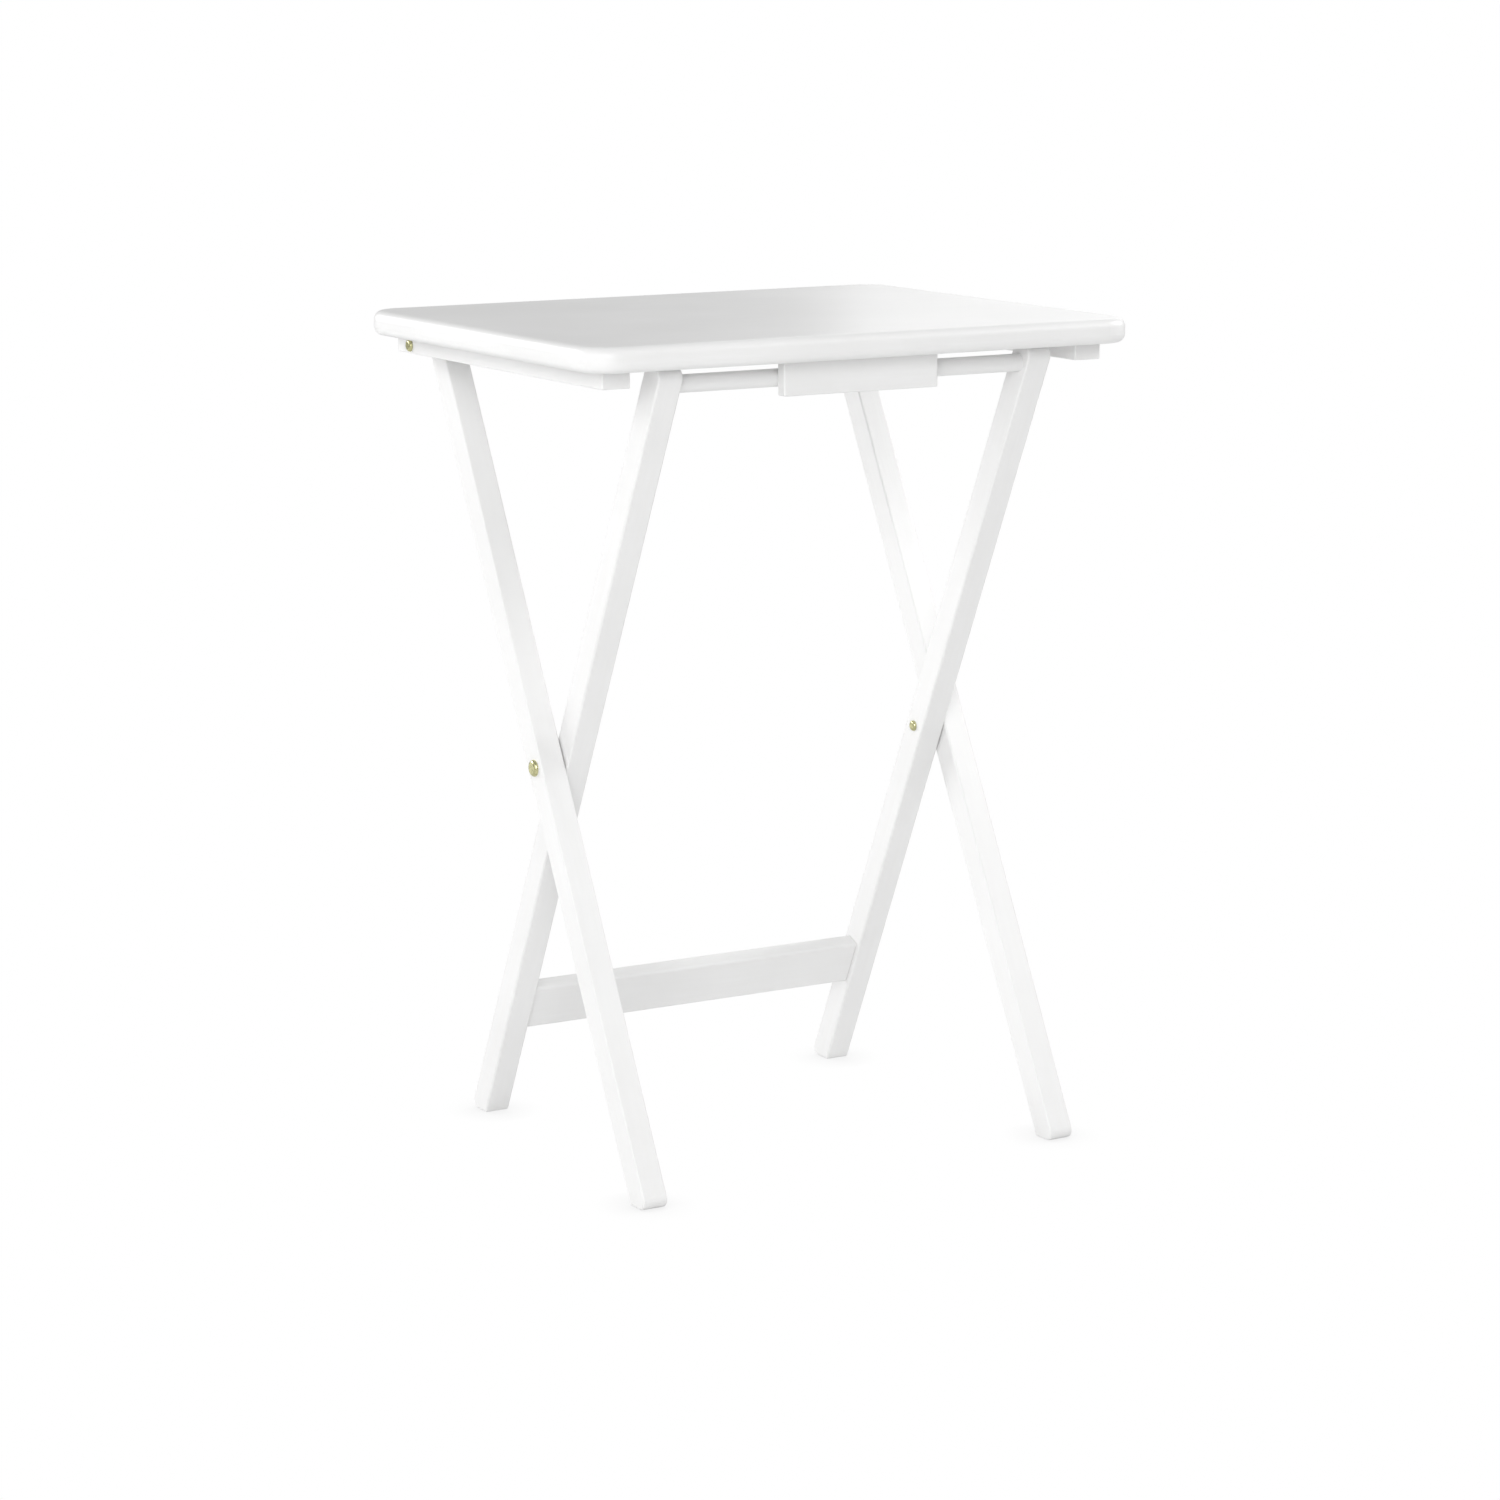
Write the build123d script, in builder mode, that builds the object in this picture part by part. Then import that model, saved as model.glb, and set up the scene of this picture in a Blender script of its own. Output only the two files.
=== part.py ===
from build123d import *
import os
from math import cos, radians, sin, tan

# Folding tray table, standing open.  Units are mm.  X runs along the long edge, +Y points to the
# rear, +Z up.  The origin is on the floor, under the middle of the tabletop.

# Tabletop
top_w = 482.0
top_d = 386.0
top_t = 19.5
top_h = 656.0
corner_r = 27.0
edge_r = 7.0
underside = top_h - top_t

# Legs: each pair crosses at one height and leans a different way
leg_w = 21.0
leg_d = 22.8
arris_r = 1.6
outer_lean = 27.5
inner_lean = -25.5
cross_y = -8.9
cross_z = 312.7
outer_x = 185.3
washer_t = 1.0
inner_x = outer_x - leg_w - washer_t
outer_face = outer_x + leg_w / 2
inner_face = inner_x - leg_w / 2
toe_r = 6.5
inner_top_r = 7.5
end_r = 1.5
mitre_r = 3.0
top_gap = 0.5

# Battens under the tabletop
batten_w = 23.6
batten_h = 13.5
batten_front = -170.4
batten_rear = 172.0
batten_x = outer_face + washer_t + batten_w / 2
batten_out = batten_x + batten_w / 2
batten_r = 1.2

# Clearances: round pieces in their holes, and bolt heads off the wood
run = 0.05
head_gap = 0.15

# Bolts: both kinds share one shank and have domed heads
bolt_r = 2.5
dome_rim = 0.3

# Rear hinge through each batten into the top end of an outer leg
hinge_y = 149.4
hinge_z = underside - 7.0
hinge = (hinge_y, hinge_z)
hinge_shank_len = 36.8
hinge_head_r = 4.9
hinge_head_h = 2.4
hinge_end_r = 6.3
hinge_washer_r = 5.2
fold_angle = outer_lean - inner_lean
insert_r = 3.5
insert_len = 13.0
insert_depth = 14.0

# Pivot where the legs cross
pivot = (cross_y, cross_z)
pivot_shank_len = 41.0
pivot_head_r = 6.6
pivot_head_h = 2.8
pivot_washer_r = 7.5
sleeve_r = 3.6
sleeve_len = 16.0
sleeve_head_r = 4.3
sleeve_head_h = 2.3
sleeve_floor = 1.9

# Round dowel near the tops of the inner legs
dowel_r = 6.9
dowel_reach = 343.6
dowel_socket = 12.0

# Flat stretcher low down between the inner legs
stretcher_drop = 219.3
stretcher_h = 40.5
stretcher_t = 13.5
stretcher_recess = 4.0
stretcher_r = 2.5
stretcher_end_r = 0.6
peg_r = 4.0
peg_in_leg = 13.0
peg_in_board = 16.0
peg_spread = 11.0

# Stop rail under the front of the tabletop; the dowel rests behind it
rail_w = 136.0
rail_t = 10.0
rail_h = 26.5
rail_gap = 0.3
rail_r = 1.2

# Wood screws
screw_shank_r = 1.75
screw_head_r = 3.4
screw_cone_h = 2.6
screw_tip_r = 0.4
screw_sink = 0.4
recess_w = 0.9
recess_len = 3.8
recess_depth = 1.5
batten_screw_len = 25.0
batten_screw_y = (-130.0, -15.0, 95.0)
rail_screw_x = 42.0
rail_bore_r = 3.6
rail_bore_depth = 8.0
rail_screw_len = 31.0

sides = (("left", -1), ("right", 1))
upward = (Align.CENTER, Align.CENTER, Align.MIN)
downward = (Align.CENTER, Align.CENTER, Align.MAX)
outward = upward
inward = downward
centred = (Align.CENTER, Align.CENTER, Align.CENTER)
os.makedirs("parts", exist_ok=True)


def leg_y(lean, face, z):
    """Y of a leg at height z: face is -1 at its front, 0 on its centre line, 1 at its rear."""
    return cross_y + (z - cross_z) * tan(radians(lean)) + face * leg_d / 2 / cos(radians(lean))


def on_inner(along, forward=0.0):
    """Point of the YZ plane at a distance up the inner legs, and forward of their centre line."""
    lean = radians(inner_lean)
    y = cross_y + along * sin(lean) - forward * cos(lean)
    z = cross_z + along * cos(lean) + forward * sin(lean)
    return (y, z)


def save(part, label):
    part.label = label
    export_step(part, f"parts/{label}.step")


def rod(sign, x, middle, radius, length, align, mode=Mode.ADD):
    """Round bar or hole along X on one side of the table, from a distance x off its middle."""
    y, z = middle
    with Locations(Plane(origin=(sign * x, y, z), x_dir=(0, 1, 0), z_dir=(sign, 0, 0))):
        Cylinder(radius, length, align=align, mode=mode)


def dome(builder, end, head_h):
    """Rounds over the circular rim that lies furthest to that end along X."""
    rims = builder.edges().filter_by(GeomType.CIRCLE).sort_by(Axis.X)
    fillet(rims[-1] if end > 0 else rims[0], head_h - dome_rim)


def ring(sign, x, middle, radius, length, label):
    """Washer or threaded insert with a bore for a bolt, saved as one node."""
    with BuildPart() as made:
        rod(sign, x, middle, radius, length, centred)
        rod(sign, x, middle, bolt_r + run, length, centred, Mode.SUBTRACT)
    save(made.part, label)


def leg_blank(x, outline, rounds):
    """Leg cut from its side outline, with the outline's corners and the long arrises rounded."""
    with BuildPart() as blank:
        with BuildSketch(Plane.YZ.offset(x)) as section:
            with BuildLine():
                Polyline(*outline, close=True)
            make_face()
            for corner, radius in zip(outline, rounds):
                fillet(section.vertices().sort_by_distance((*corner, 0))[0], radius)
        extrude(amount=leg_w / 2, both=True)
        fillet(blank.faces().filter_by(Axis.X).edges(), arris_r)
    return blank.part


def cut_screws(points, seat):
    """Screw holes: shank clearance upwards from a countersunk seat at height seat."""
    with Locations(*[(x, y, seat) for x, y in points]):
        Cylinder(
            screw_shank_r + run, top_t + batten_h + rail_h, align=upward, mode=Mode.SUBTRACT
        )
        Cone(
            screw_head_r + run,
            screw_shank_r + run,
            screw_cone_h,
            align=upward,
            mode=Mode.SUBTRACT,
        )


def add_screws(points, seat, length):
    """Countersunk screws pointing up, with the flat of each cross-slotted head at height seat."""
    tip_h = 2 * screw_shank_r
    with Locations(*[(x, y, seat) for x, y in points]):
        Cylinder(screw_shank_r, length - tip_h, align=upward)
        Cone(screw_head_r, screw_shank_r, screw_cone_h, align=upward)
        Box(recess_len, recess_w, recess_depth, align=upward, mode=Mode.SUBTRACT)
        Box(recess_w, recess_len, recess_depth, align=upward, mode=Mode.SUBTRACT)
    with Locations(*[(x, y, seat + length - tip_h) for x, y in points]):
        Cone(screw_shank_r, screw_tip_r, tip_h, align=upward)


dowel_at = on_inner(dowel_reach)
rail_y = dowel_at[0] - dowel_r - rail_gap - rail_t / 2
rail_seat = underside - rail_h + rail_bore_depth
rail_points = [(side * rail_screw_x, rail_y) for side in (-1, 1)]
batten_seat = underside - batten_h + screw_sink
stretcher_along = -stretcher_drop - stretcher_h / 2
stretcher_forward = leg_d / 2 - stretcher_recess - stretcher_t / 2
stretcher_mid = on_inner(stretcher_along, stretcher_forward)
peg_axes = [
    on_inner(stretcher_along + step * peg_spread, stretcher_forward) for step in (-1, 1)
]

# Tabletop: a flat board with rounded corners and rounded edges
with BuildPart() as tabletop:
    with BuildSketch(Plane.XY.offset(underside)):
        RectangleRounded(top_w, top_d, corner_r)
    extrude(amount=top_t)
    fillet(tabletop.faces().sort_by(Axis.Z)[-1].edges(), edge_r)
    fillet(tabletop.faces().sort_by(Axis.Z)[0].edges(), edge_r)
    batten_points = [(sign * batten_x, y) for side, sign in sides for y in batten_screw_y]
    for points, depth in (
        (batten_points, batten_seat + batten_screw_len - underside),
        (rail_points, rail_seat + rail_screw_len - underside),
    ):
        with Locations(*[(x, y, underside) for x, y in points]):
            Cylinder(screw_shank_r + run, depth + run, align=upward, mode=Mode.SUBTRACT)
save(tabletop.part, "tabletop")

# Battens, each with a hinge hole and three screws
for side, sign in sides:
    screw_points = [(sign * batten_x, y) for y in batten_screw_y]
    with BuildPart() as batten:
        with BuildSketch(Plane.XY.offset(underside)):
            with Locations((sign * batten_x, (batten_front + batten_rear) / 2)):
                Rectangle(batten_w, batten_rear - batten_front)
        extrude(amount=-batten_h)
        fillet(batten.edges().filter_by(Axis.Z), batten_r)
        fillet(batten.faces().sort_by(Axis.Z)[0].edges(), batten_r)
        rod(sign, batten_x, hinge, bolt_r + run, 2 * batten_w, centred, Mode.SUBTRACT)
        cut_screws(screw_points, batten_seat)
        with Locations(*[(x, y, batten_seat) for x, y in screw_points]):
            Cylinder(screw_head_r + run, screw_sink, align=downward, mode=Mode.SUBTRACT)
    save(batten.part, f"batten_{side}")
    with BuildPart() as batten_screws:
        add_screws(screw_points, batten_seat, batten_screw_len)
    save(batten_screws.part, f"batten_screws_{side}")

# Stop rail and its screws, sunk in counterbores
with BuildPart() as stop_rail:
    with BuildSketch(Plane.XY.offset(underside)):
        with Locations((0, rail_y)):
            Rectangle(rail_w, rail_t)
    extrude(amount=-rail_h)
    fillet(stop_rail.edges().filter_by(Axis.Z), rail_r)
    fillet(stop_rail.faces().sort_by(Axis.Z)[0].edges(), rail_r)
    cut_screws(rail_points, rail_seat)
    with Locations(*[(x, y, rail_seat) for x, y in rail_points]):
        Cylinder(rail_bore_r, rail_bore_depth, align=downward, mode=Mode.SUBTRACT)
save(stop_rail.part, "stop_rail")
with BuildPart() as rail_screws:
    add_screws(rail_points, rail_seat, rail_screw_len)
save(rail_screws.part, "rail_screws")

# Outer legs: the top end turns under the tabletop, so it is rounded about the hinge and mitred
fold = radians(fold_angle)
lean = radians(outer_lean)
peak_y = hinge_y + hinge_end_r * tan(fold / 2)
peak_z = hinge_z + hinge_end_r
off_axis = (peak_y - cross_y) * cos(lean) - (peak_z - cross_z) * sin(lean)
mitre = (leg_d / 2 - off_axis) / cos(fold - lean)
outer_outline = [
    (leg_y(outer_lean, -1, 0), 0),
    (leg_y(outer_lean, -1, peak_z), peak_z),
    (peak_y, peak_z),
    (peak_y + mitre * cos(fold), peak_z - mitre * sin(fold)),
    (leg_y(outer_lean, 1, 0), 0),
]
outer_rounds = (toe_r, mitre_r, hinge_end_r, mitre_r, end_r)
for side, sign in sides:
    blank = leg_blank(sign * outer_x, outer_outline, outer_rounds)
    with BuildPart() as outer_leg:
        add(blank)
        rod(sign, outer_x, pivot, bolt_r + run, 2 * leg_w, centred, Mode.SUBTRACT)
        rod(sign, outer_face, hinge, insert_r + run, insert_depth, inward, Mode.SUBTRACT)
    save(outer_leg.part, f"outer_leg_{side}")

# Inner legs, with sockets for the dowel and the stretcher's pegs
inner_top = underside - top_gap
inner_outline = [
    (leg_y(inner_lean, -1, 0), 0),
    (leg_y(inner_lean, -1, inner_top), inner_top),
    (leg_y(inner_lean, 1, inner_top), inner_top),
    (leg_y(inner_lean, 1, 0), 0),
]
inner_rounds = (end_r, inner_top_r, end_r, toe_r)
for side, sign in sides:
    blank = leg_blank(sign * inner_x, inner_outline, inner_rounds)
    with BuildPart() as inner_leg:
        add(blank)
        rod(sign, inner_x, pivot, sleeve_r + run, 2 * leg_w, centred, Mode.SUBTRACT)
        rod(sign, inner_face, dowel_at, dowel_r + run, dowel_socket, outward, Mode.SUBTRACT)
        for axis in peg_axes:
            rod(sign, inner_face, axis, peg_r + run, peg_in_leg + run, outward, Mode.SUBTRACT)
    save(inner_leg.part, f"inner_leg_{side}")

# Top dowel between the inner legs
with BuildPart() as top_dowel:
    rod(1, 0, dowel_at, dowel_r, 2 * (inner_face + dowel_socket - run), centred)
save(top_dowel.part, "top_dowel")

# Stretcher board, parallel to the inner legs, and its pegs
with BuildPart() as stretcher:
    with BuildSketch(Plane.YZ):
        with Locations(Location((*stretcher_mid, 0), (0, 0, -inner_lean))):
            RectangleRounded(stretcher_t, stretcher_h, stretcher_r)
    extrude(amount=inner_face, both=True)
    fillet(stretcher.faces().filter_by(Axis.X).edges(), stretcher_end_r)
    for side, sign in sides:
        for axis in peg_axes:
            rod(sign, inner_face, axis, peg_r + run, peg_in_board + run, inward, Mode.SUBTRACT)
save(stretcher.part, "stretcher")
for side, sign in sides:
    with BuildPart() as pegs:
        for axis in peg_axes:
            rod(sign, inner_face, axis, peg_r, peg_in_leg, outward)
            rod(sign, inner_face, axis, peg_r, peg_in_board, inward)
    save(pegs.part, f"stretcher_pegs_{side}")

# Rear hinge hardware
for side, sign in sides:
    with BuildPart() as hinge_bolt:
        rod(sign, batten_out + head_gap, hinge, hinge_head_r, hinge_head_h, outward)
        rod(sign, batten_out + head_gap, hinge, bolt_r, hinge_shank_len, inward)
        dome(hinge_bolt, sign, hinge_head_h)
    save(hinge_bolt.part, f"hinge_bolt_{side}")
    washer_x = outer_face + washer_t / 2
    ring(sign, washer_x, hinge, hinge_washer_r, washer_t, f"hinge_washer_{side}")
    insert_x = outer_face - insert_len / 2
    ring(sign, insert_x, hinge, insert_r, insert_len, f"hinge_insert_{side}")

# Crossing pivot hardware: the bolt screws into a sleeve nut that the inner leg turns on
bore_x = inner_face + sleeve_floor
for side, sign in sides:
    with BuildPart() as pivot_bolt:
        rod(sign, outer_face, pivot, pivot_head_r, pivot_head_h, outward)
        rod(sign, outer_face, pivot, bolt_r, pivot_shank_len, inward)
        dome(pivot_bolt, sign, pivot_head_h)
    save(pivot_bolt.part, f"pivot_bolt_{side}")
    washer_x = inner_x + (leg_w + washer_t) / 2
    ring(sign, washer_x, pivot, pivot_washer_r, washer_t, f"pivot_washer_{side}")
    with BuildPart() as sleeve_nut:
        rod(sign, inner_face - head_gap, pivot, sleeve_head_r, sleeve_head_h, inward)
        rod(sign, inner_face - head_gap, pivot, sleeve_r, sleeve_len, outward)
        dome(sleeve_nut, -sign, sleeve_head_h)
        rod(sign, bore_x, pivot, bolt_r + run, sleeve_len, outward, Mode.SUBTRACT)
    save(sleeve_nut.part, f"sleeve_nut_{side}")
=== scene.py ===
"""Folding tray table: white semi-gloss paint on wood, brass pivot hardware, plain white studio."""
import math

import bpy
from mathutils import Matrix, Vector


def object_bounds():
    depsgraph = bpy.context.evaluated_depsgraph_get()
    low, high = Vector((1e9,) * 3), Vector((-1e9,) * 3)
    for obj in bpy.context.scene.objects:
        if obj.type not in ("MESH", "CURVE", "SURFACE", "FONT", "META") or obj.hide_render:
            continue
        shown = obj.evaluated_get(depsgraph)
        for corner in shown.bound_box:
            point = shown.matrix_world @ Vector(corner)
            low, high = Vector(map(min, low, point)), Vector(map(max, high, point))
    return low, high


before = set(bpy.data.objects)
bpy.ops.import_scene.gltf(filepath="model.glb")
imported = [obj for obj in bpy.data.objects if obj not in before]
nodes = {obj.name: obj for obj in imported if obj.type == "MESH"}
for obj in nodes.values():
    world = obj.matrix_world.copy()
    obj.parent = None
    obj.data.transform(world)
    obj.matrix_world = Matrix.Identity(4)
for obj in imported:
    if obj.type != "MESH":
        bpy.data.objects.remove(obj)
cad_low, cad_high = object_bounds()
centre = (cad_low + cad_high) / 2

# Turns that bring the length of a piece onto Z, where its grain and brush marks are made
ALONG_X = (0.0, math.radians(90), 0.0)
ALONG_Y = (math.radians(-90), 0.0, 0.0)
ALONG_OUTER_LEGS = (math.radians(27.5), 0.0, 0.0)
ALONG_INNER_LEGS = (math.radians(-25.5), 0.0, 0.0)

# How many times longer the grain is than wide
PAINTED_STRETCH = 14.0
BARE_STRETCH = 16.0

# Colours
PAINT_DARK = (0.80, 0.80, 0.797, 1.0)
PAINT_LIGHT = (0.83, 0.83, 0.828, 1.0)
PAINT_OVER_GRAIN = (0.79, 0.787, 0.78, 1.0)
BRASS_CLEAN = (0.62, 0.60, 0.34, 1.0)
BRASS_TARNISHED = (0.45, 0.44, 0.24, 1.0)
STEEL_DARK = (0.50, 0.50, 0.49, 1.0)
STEEL_LIGHT = (0.66, 0.66, 0.64, 1.0)
WOOD_DARK = (0.56, 0.38, 0.22, 1.0)
WOOD_LIGHT = (0.70, 0.52, 0.34, 1.0)
FLOOR_GREY = (0.8, 0.8, 0.8, 1.0)
WHITE = (1.0, 1.0, 1.0, 1.0)

# Roughness, from the smoothest patches of a surface to the dullest
PAINT_ROUGHNESS = (0.30, 0.33)
BRASS_ROUGHNESS = (0.16, 0.34)
STEEL_ROUGHNESS = (0.24, 0.42)
WOOD_ROUGHNESS = (0.55, 0.70)

# Noise scales, per metre
PAINT_FIBRES = 260.0
PAINT_BRUSH = 520.0
PAINT_PEEL = 900.0
PAINT_CLOUDS = 11.0
BRASS_TARNISH = 420.0
BRASS_SCRATCHES = 2600.0
STEEL_CRYSTALS = 900.0
WOOD_FIBRES = 420.0

# Studio, in metres and watts
FLOOR_SIZE = 160.0
FLOOR_DROP = 0.0002
CONTACT_REACH = 0.03
CONTACT_SAMPLES = 8
CONTACT_RANGE = (0.3, 1.0)
CONTACT_SHADE = (0.88, 1.0)
ROOM_STRENGTH = 0.43
WALL_STRENGTH = 1.0

# Each light: its place from the middle of the table, its side and its power
SOFT_BOXES = {
    "rear_left": ((-1.6, 2.2, 1.0), 1.4, 39.0),
    "rear_right": ((1.1, 1.0, 0.9), 0.8, 2.45),
    "left": ((-2.4, -0.6, 0.9), 1.8, 11.3),
    "front_left": ((-1.6, -2.3, 1.1), 1.6, 38.0),
    "front_right_high": ((1.8, -1.8, 1.6), 0.7, 6.1),
    "right": ((1.3, -0.3, 0.9), 0.5, 10.0),
}

# Camera: sensor and lens in millimetres, place in metres, turn in degrees
CAMERA_SENSOR = 36.0
CAMERA_LENS = 102.57
CAMERA_SHIFT = (-0.0017, -0.0401)
CAMERA_PLACE = (-1.6907, -2.9048, 0.9573)
CAMERA_TURN = (79.841, 0.116, -30.304)
CAMERA_CLIP_END = 400.0


# ---------------------------------------------------------------- node helpers

def new_material(name):
    """An empty node material with its Principled shader and output joined."""
    material = bpy.data.materials.new(name)
    material.use_nodes = True
    tree = material.node_tree
    tree.nodes.clear()
    shader = tree.nodes.new("ShaderNodeBsdfPrincipled")
    output = tree.nodes.new("ShaderNodeOutputMaterial")
    tree.links.new(shader.outputs["BSDF"], output.inputs["Surface"])
    return material, tree, shader


def link(tree, source, target):
    tree.links.new(source, target)


def feed(tree, socket, value):
    """Gives a socket either a link or a plain value."""
    if isinstance(value, bpy.types.NodeSocket):
        link(tree, value, socket)
    else:
        socket.default_value = value


def node(tree, kind, inputs=None, **settings):
    """One shader node with its settings, its plain values and its links."""
    made = tree.nodes.new(kind)
    for key, value in settings.items():
        setattr(made, key, value)
    for key, value in (inputs or {}).items():
        feed(tree, made.inputs[key], value)
    return made


def object_space(tree):
    return node(tree, "ShaderNodeTexCoord").outputs["Object"]


def grain_space(tree, vector, turn, stretch):
    """Coordinates turned so that the grain runs along Z, and stretched along it."""
    turned = node(
        tree,
        "ShaderNodeVectorRotate",
        {"Vector": vector, "Rotation": turn},
        rotation_type="EULER_XYZ",
    )
    return node(
        tree,
        "ShaderNodeVectorMath",
        {0: turned.outputs["Vector"], 1: (1.0, 1.0, 1.0 / stretch)},
        operation="MULTIPLY",
    ).outputs["Vector"]


def noise(tree, vector, scale, detail=3.0, roughness=0.5, distortion=0.0):
    return node(
        tree,
        "ShaderNodeTexNoise",
        {
            "Vector": vector,
            "Scale": scale,
            "Detail": detail,
            "Roughness": roughness,
            "Distortion": distortion,
        },
    ).outputs["Fac"]


def remap(tree, value, given, wanted=(0.0, 1.0)):
    """The value's given range spread over the wanted one, and held at its ends."""
    return node(
        tree,
        "ShaderNodeMapRange",
        {
            "Value": value,
            "From Min": given[0],
            "From Max": given[1],
            "To Min": wanted[0],
            "To Max": wanted[1],
        },
    ).outputs["Result"]


def mix_colour(tree, factor, first, second):
    """A colour mix: its factor, both colours and its result go by socket number."""
    made = node(tree, "ShaderNodeMix", data_type="RGBA")
    for index, value in ((0, factor), (6, first), (7, second)):
        feed(tree, made.inputs[index], value)
    return made.outputs[2]


def bump(tree, height, strength, distance, normal=None):
    made = node(
        tree,
        "ShaderNodeBump",
        {"Height": height, "Strength": strength, "Distance": distance},
    )
    if normal is not None:
        link(tree, normal, made.inputs["Normal"])
    return made.outputs["Normal"]


# ------------------------------------------------------------------- materials

def painted_wood(name, turn):
    """White semi-gloss paint: faint grain and brush marks along the piece, and orange peel."""
    material, tree, shader = new_material(name)
    plain = object_space(tree)
    grain = grain_space(tree, plain, turn, PAINTED_STRETCH)
    fibre = noise(tree, grain, PAINT_FIBRES, detail=4.0, roughness=0.6)
    brush = noise(tree, grain, PAINT_BRUSH, detail=2.0)
    peel = noise(tree, plain, PAINT_PEEL, detail=2.0)
    cloud = noise(tree, plain, PAINT_CLOUDS)
    lightness = remap(tree, cloud, given=(0.35, 0.65))
    tone = mix_colour(tree, lightness, PAINT_DARK, PAINT_LIGHT)
    over_grain = remap(tree, fibre, given=(0.35, 0.75), wanted=(0.0, 0.5))
    streaked = mix_colour(tree, over_grain, tone, PAINT_OVER_GRAIN)
    link(tree, streaked, shader.inputs["Base Color"])
    gloss = remap(tree, cloud, given=(0.3, 0.7), wanted=PAINT_ROUGHNESS)
    link(tree, gloss, shader.inputs["Roughness"])
    grain_bump = bump(tree, fibre, strength=0.25, distance=0.0003)
    brush_bump = bump(tree, brush, strength=0.15, distance=0.0002, normal=grain_bump)
    peel_bump = bump(tree, peel, strength=0.12, distance=0.0002, normal=brush_bump)
    link(tree, peel_bump, shader.inputs["Normal"])
    return material


def brass(name):
    """Polished brass, unevenly tarnished and finely scratched."""
    material, tree, shader = new_material(name)
    plain = object_space(tree)
    tarnish = noise(tree, plain, BRASS_TARNISH, detail=4.0, roughness=0.6)
    scratch = noise(tree, plain, BRASS_SCRATCHES, detail=2.0)
    tarnished = remap(tree, tarnish, given=(0.4, 0.7))
    colour = mix_colour(tree, tarnished, BRASS_CLEAN, BRASS_TARNISHED)
    link(tree, colour, shader.inputs["Base Color"])
    shader.inputs["Metallic"].default_value = 1.0
    dulled = remap(tree, tarnish, given=(0.35, 0.7), wanted=BRASS_ROUGHNESS)
    link(tree, dulled, shader.inputs["Roughness"])
    scratched = bump(tree, scratch, strength=0.1, distance=0.0001)
    link(tree, scratched, shader.inputs["Normal"])
    return material


def plated_steel(name):
    """Zinc-plated steel with its faint crystals."""
    material, tree, shader = new_material(name)
    crystal = noise(tree, object_space(tree), STEEL_CRYSTALS, roughness=0.6)
    colour = mix_colour(tree, crystal, STEEL_DARK, STEEL_LIGHT)
    link(tree, colour, shader.inputs["Base Color"])
    shader.inputs["Metallic"].default_value = 1.0
    dulled = remap(tree, crystal, given=(0.3, 0.7), wanted=STEEL_ROUGHNESS)
    link(tree, dulled, shader.inputs["Roughness"])
    uneven = bump(tree, crystal, strength=0.1, distance=0.0001)
    link(tree, uneven, shader.inputs["Normal"])
    return material


def bare_wood(name):
    """Unpainted hardwood with fine fibres along X."""
    material, tree, shader = new_material(name)
    grain = grain_space(tree, object_space(tree), ALONG_X, BARE_STRETCH)
    fibre = noise(tree, grain, WOOD_FIBRES, detail=5.0, roughness=0.6, distortion=0.4)
    lightness = remap(tree, fibre, given=(0.3, 0.7))
    colour = mix_colour(tree, lightness, WOOD_DARK, WOOD_LIGHT)
    link(tree, colour, shader.inputs["Base Color"])
    dulled = remap(tree, fibre, given=(0.3, 0.7), wanted=WOOD_ROUGHNESS)
    link(tree, dulled, shader.inputs["Roughness"])
    fibrous = bump(tree, fibre, strength=0.3, distance=0.0002)
    link(tree, fibrous, shader.inputs["Normal"])
    return material


def finish_nodes():
    """Gives every CAD node the material of the longest name below that its own starts with."""
    paint_x = painted_wood("paint_along_x", ALONG_X)
    paint_y = painted_wood("paint_along_y", ALONG_Y)
    paint_outer = painted_wood("paint_outer_legs", ALONG_OUTER_LEGS)
    paint_inner = painted_wood("paint_inner_legs", ALONG_INNER_LEGS)
    brass_parts = brass("brass")
    screws = plated_steel("screw_steel")
    pegs = bare_wood("bare_wood")
    finishes = {
        "tabletop": paint_x,
        "stop_rail": paint_x,
        "top_dowel": paint_x,
        "stretcher": paint_x,
        "stretcher_pegs": pegs,
        "batten": paint_y,
        "batten_screws": screws,
        "rail_screws": screws,
        "outer_leg": paint_outer,
        "inner_leg": paint_inner,
        "hinge": brass_parts,
        "pivot": brass_parts,
        "sleeve_nut": brass_parts,
    }
    for name, part in nodes.items():
        best = max((key for key in finishes if name.startswith(key)), key=len)
        part.data.materials.clear()
        part.data.materials.append(finishes[best])


# ---------------------------------------------------------------------- studio

def white_to_camera(tree, shaded, seen):
    """Joins two shaders: one that lights the table, and one that is only seen directly."""
    rays = node(tree, "ShaderNodeLightPath")
    joined = node(tree, "ShaderNodeMixShader", {0: rays.outputs["Is Camera Ray"]})
    link(tree, shaded, joined.inputs[1])
    link(tree, seen, joined.inputs[2])
    return joined.outputs["Shader"]


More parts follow.
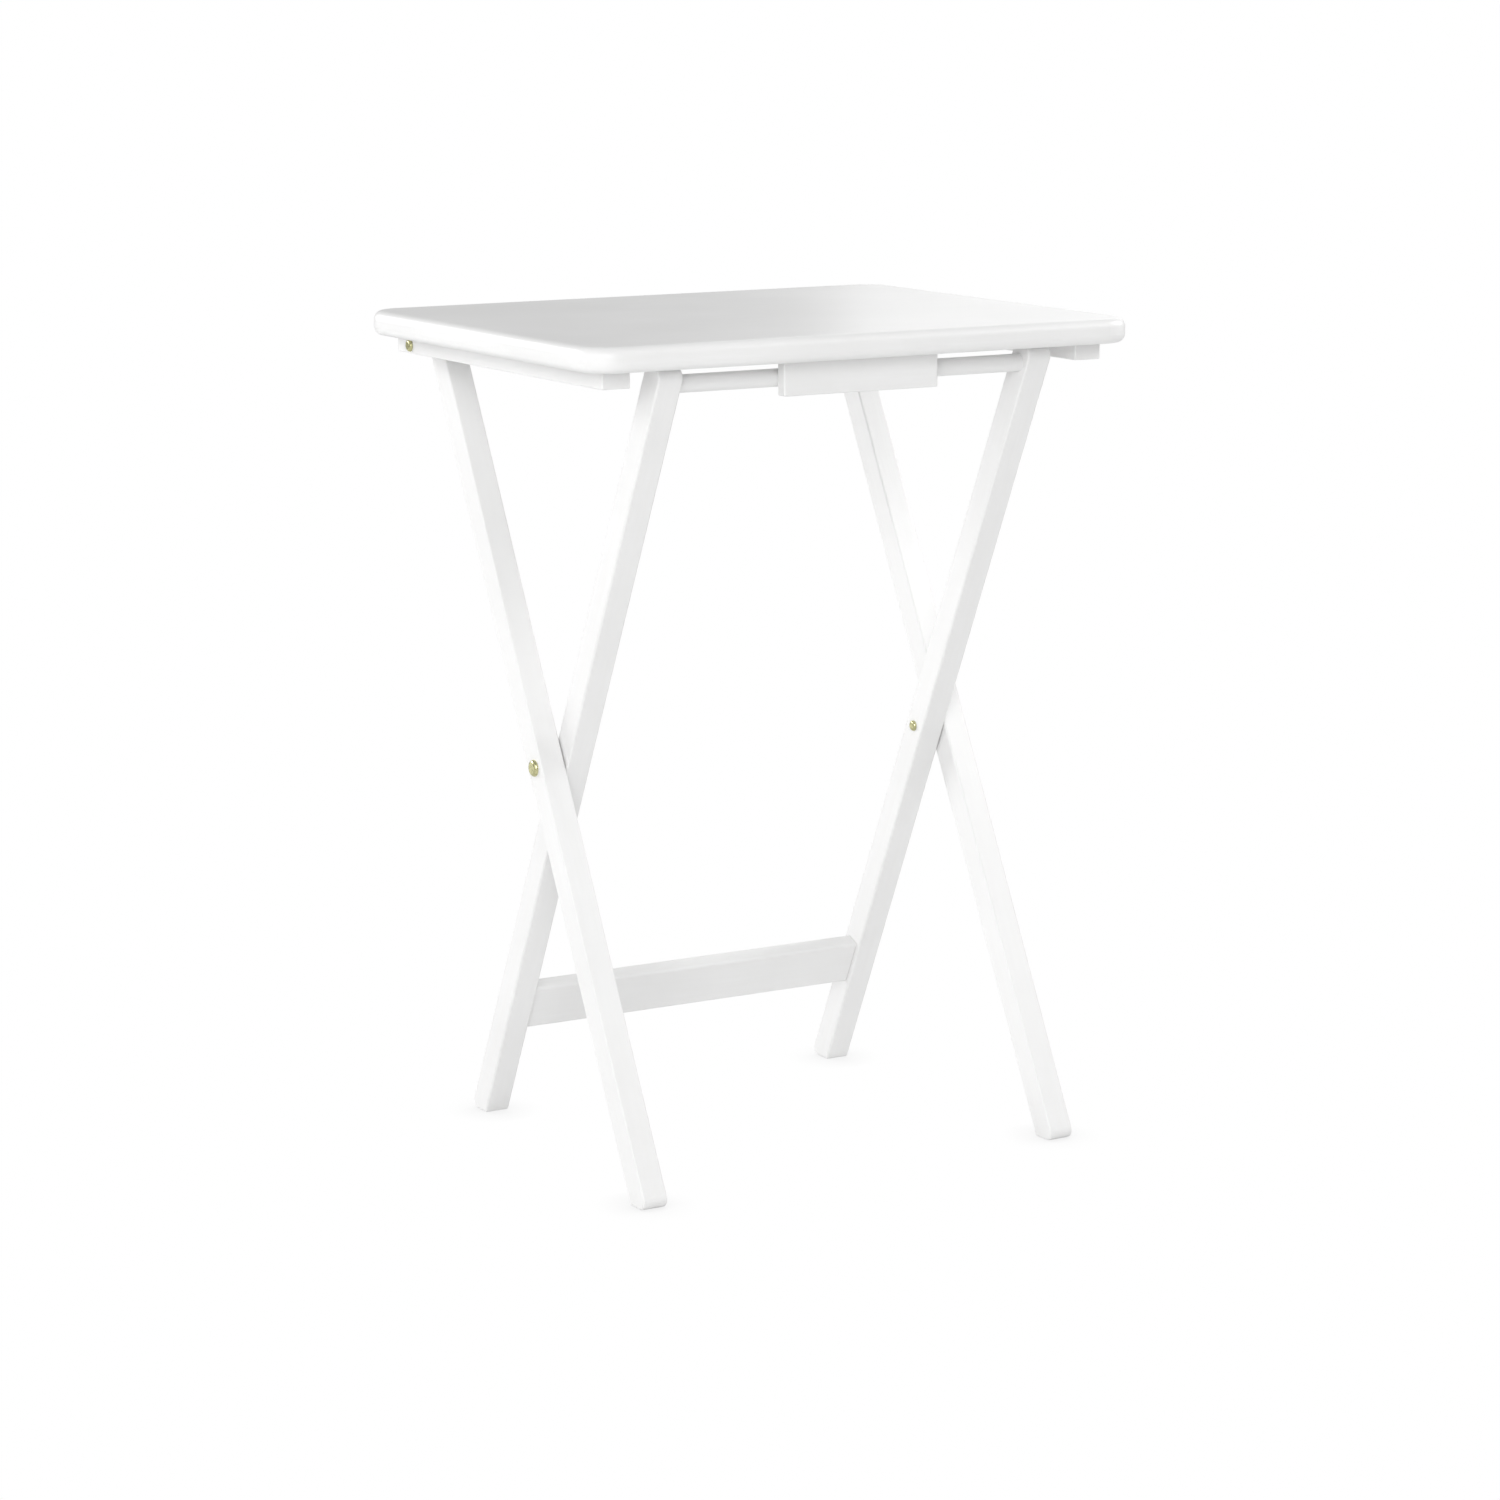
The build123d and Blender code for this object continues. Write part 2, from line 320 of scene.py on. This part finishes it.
def floor():
    """Pale floor that reads as white paper, with a faint painted shadow where a foot stands on it.
    """
    mesh = bpy.data.meshes.new("studio_floor")
    half = FLOOR_SIZE / 2
    corners = [(-half, -half, 0.0), (half, -half, 0.0), (half, half, 0.0), (-half, half, 0.0)]
    mesh.from_pydata(corners, [], [(0, 1, 2, 3)])
    made = bpy.data.objects.new("studio_floor", mesh)
    made.location.z = cad_low.z - FLOOR_DROP
    bpy.context.scene.collection.objects.link(made)
    material = bpy.data.materials.new("studio_floor")
    material.use_nodes = True
    tree = material.node_tree
    tree.nodes.clear()
    matt = node(tree, "ShaderNodeBsdfDiffuse", {"Color": FLOOR_GREY})
    contact = node(
        tree,
        "ShaderNodeAmbientOcclusion",
        {"Distance": CONTACT_REACH},
        samples=CONTACT_SAMPLES,
    )
    # Painted contact shadow: the paper's glow is dimmed wherever ambient occlusion finds a foot
    # close by
    shade = remap(tree, contact.outputs["AO"], CONTACT_RANGE, CONTACT_SHADE)
    paper_with_painted_shadow = node(tree, "ShaderNodeEmission", {"Strength": shade})
    output = node(tree, "ShaderNodeOutputMaterial")
    surface = white_to_camera(tree, matt.outputs["BSDF"], paper_with_painted_shadow.outputs["Emission"])
    link(tree, surface, output.inputs["Surface"])
    mesh.materials.append(material)


def surroundings():
    """White walls as the camera sees them, and the dimmer light that they throw on the table."""
    world = bpy.data.worlds.new("studio")
    world.use_nodes = True
    tree = world.node_tree
    tree.nodes.clear()
    room = node(tree, "ShaderNodeBackground", {"Color": WHITE, "Strength": ROOM_STRENGTH})
    wall = node(tree, "ShaderNodeBackground", {"Color": WHITE, "Strength": WALL_STRENGTH})
    output = node(tree, "ShaderNodeOutputWorld")
    surface = white_to_camera(
        tree, room.outputs["Background"], wall.outputs["Background"]
    )
    link(tree, surface, output.inputs["Surface"])
    bpy.context.scene.world = world


def soft_box(name, place, size, power):
    """A square light of that size, aimed at the middle of the table from that side of it."""
    light = bpy.data.lights.new(name, "AREA")
    light.shape = "SQUARE"
    light.size = size
    light.energy = power
    made = bpy.data.objects.new(name, light)
    made.location = centre + Vector(place)
    made.rotation_mode = "QUATERNION"
    made.rotation_quaternion = (-Vector(place)).to_track_quat("-Z", "Y")
    made.visible_camera = False
    bpy.context.scene.collection.objects.link(made)


def camera():
    """The camera, looking from the front left and a little above the tabletop."""
    lens = bpy.data.cameras.new("camera")
    lens.sensor_width = CAMERA_SENSOR
    lens.lens = CAMERA_LENS
    lens.shift_x, lens.shift_y = CAMERA_SHIFT
    lens.clip_end = CAMERA_CLIP_END
    viewer = bpy.data.objects.new("camera", lens)
    viewer.location = CAMERA_PLACE
    viewer.rotation_euler = [math.radians(angle) for angle in CAMERA_TURN]
    bpy.context.scene.collection.objects.link(viewer)
    bpy.context.scene.camera = viewer


finish_nodes()
floor()
surroundings()
for name, (place, size, power) in SOFT_BOXES.items():
    soft_box(name, place, size, power)
camera()
bpy.context.scene.view_settings.view_transform = "Standard"
